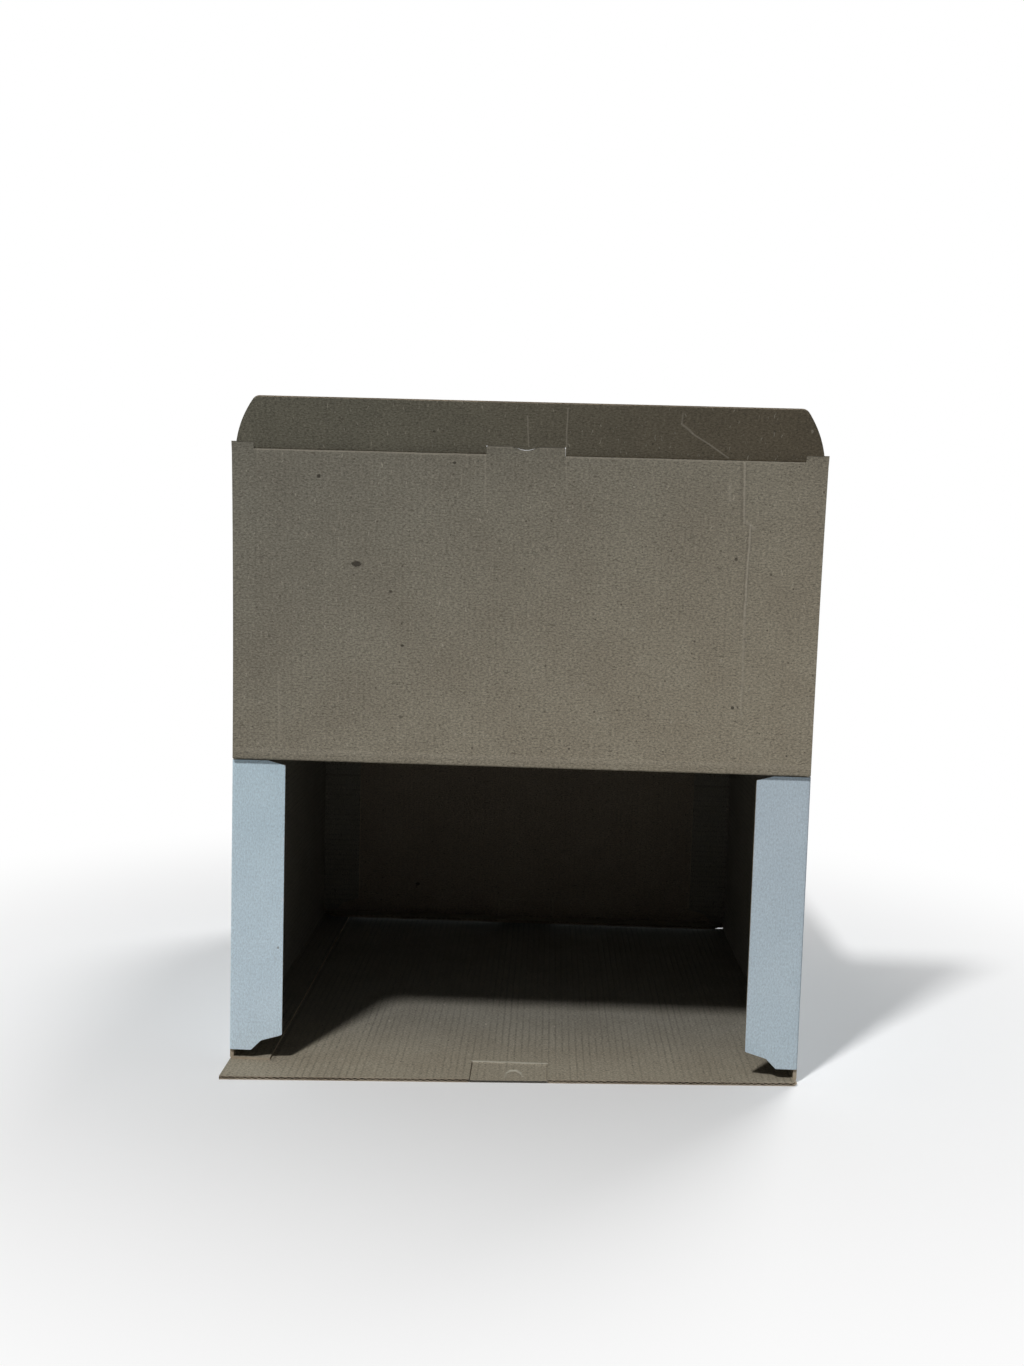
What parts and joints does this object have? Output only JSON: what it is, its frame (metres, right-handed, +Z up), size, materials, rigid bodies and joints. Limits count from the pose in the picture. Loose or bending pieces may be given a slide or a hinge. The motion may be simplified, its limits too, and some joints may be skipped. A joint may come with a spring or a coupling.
{
  "type": "cake box",
  "caption": "Plain fluted-board tuck-end carton lying on its side, with hinged lids, tuck flaps and dust flaps; the front lid is open.",
  "frame": {"origin": "on the ground under the middle of the carton's tube", "axes": "+Z up, +Y to the back, +X to the right when looking into the open front"},
  "size_m": [0.254, 0.2759, 0.2946],
  "materials": {
    "fluted_board": "matt",
    "white_faced_board": "matt"
  },
  "bodies": {
    "carton": {"sleeve": "fluted_board"},
    "front_lid": {"front_lid": "fluted_board"},
    "front_tuck": {"front_tuck_flap": "fluted_board"},
    "dust_right": {"front_dust_flap_right": "white_faced_board"},
    "dust_left": {"front_dust_flap_left": "white_faced_board"},
    "rear_lid": {"rear_lid": "fluted_board"},
    "rear_tuck": {"rear_tuck_flap": "fluted_board"}
  },
  "joints": [
    {"name": "front_lid_fold", "type": "hinge", "parent": "carton", "child": "front_lid", "pos_m": [0, -0.1281, 0.1392], "axis": [1, 0, 0], "range_deg": [-15, 177]},
    {"name": "front_tuck_fold", "type": "hinge", "parent": "front_lid", "child": "front_tuck", "pos_m": [0, -0.13516, 0.27392], "axis": [1, 0, 0], "range_deg": [-6.5, 76.1]},
    {"name": "dust_flap_right_fold", "type": "hinge", "parent": "carton", "child": "dust_right", "pos_m": [0.1262, -0.1262, 0.0721], "axis": [0, 0, 1], "range_deg": [-10, 165]},
    {"name": "dust_flap_left_fold", "type": "hinge", "parent": "carton", "child": "dust_left", "pos_m": [-0.1262, -0.1262, 0.0721], "axis": [0, 0, -1], "range_deg": [-10, 165]},
    {"name": "rear_lid_fold", "type": "hinge", "parent": "carton", "child": "rear_lid", "pos_m": [0, 0.1281, 0.1392], "axis": [1, 0, 0], "range_deg": [0, 192]},
    {"name": "rear_tuck_fold", "type": "hinge", "parent": "rear_lid", "child": "rear_tuck", "pos_m": [0, 0.1281, 0.0043], "axis": [1, 0, 0], "range_deg": [0, 82.5]}
  ],
  "couplings": [
    {"joint": "front_tuck_fold", "follows": "front_lid_fold", "ratio": 0.42938},
    {"joint": "rear_tuck_fold", "follows": "rear_lid_fold", "ratio": 0.42938}
  ]
}
